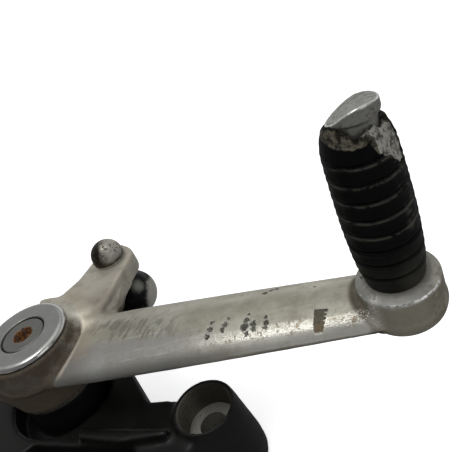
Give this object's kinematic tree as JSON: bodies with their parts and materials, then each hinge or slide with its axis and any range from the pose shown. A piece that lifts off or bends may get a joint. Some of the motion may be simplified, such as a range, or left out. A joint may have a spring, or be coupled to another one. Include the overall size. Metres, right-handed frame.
{
  "type": "footrest bracket",
  "caption": "Cast footrest bracket with a pivoted gear-change lever that has a ribbed rubber toe peg and a ball-ended rod arm.",
  "frame": {"origin": "on the axis of the front frame mounting, in the plane of the frame mounting faces", "axes": "+Z points outboard along the mounting and lever pivot axes, +X runs along the lever arm from the pivot to the toe peg"},
  "size_m": [0.1795, 0.1216, 0.1047],
  "materials": {
    "black_paint": "satin black, worn at the edges",
    "worn_aluminium": "worn cast, scuffed and chipped",
    "bright_plate": "dulled plate with a polished edge",
    "dull_plate": "dull zinc plate, rust in the socket",
    "steel": "plain",
    "bronze": "plain bearing bronze",
    "seal_rubber": "matt",
    "peg_metal": "scraped bare",
    "peg_rubber": "worn, scuffed, torn at the top",
    "polished_steel": "polished",
    "dull_aluminium": "dull, oxidised",
    "machined_steel": "machined, lightly dirty"
  },
  "bodies": {
    "bracket": {"bracket_casting": "black_paint", "pivot_collar": "bright_plate", "pivot_screw": "dull_plate", "thrust_washer": "steel", "pivot_nut": "dull_plate", "pivot_nut_washer": "dull_plate", "mount_sleeve_front": "machined_steel", "mount_sleeve_rear": "machined_steel", "clevis_bush_front": "bronze", "clevis_bush_rear": "bronze"},
    "lever": {"lever_casting": "worn_aluminium", "bush_outer_end": "bronze", "bush_inner_end": "bronze", "seal_outer_end": "seal_rubber", "seal_inner_end": "seal_rubber", "toe_peg": "peg_metal", "peg_rubber": "peg_rubber", "rod_ball_stud": "polished_steel", "rod_stud_nut": "dull_aluminium", "rod_stud_washer": "dull_plate"}
  },
  "joints": [
    {"name": "lever_pivot", "type": "hinge", "parent": "bracket", "child": "lever", "pos_m": [-0.0552, 0.0143, 0.0403], "axis": [0, 0, 1], "range_deg": [-12, 12]}
  ]
}
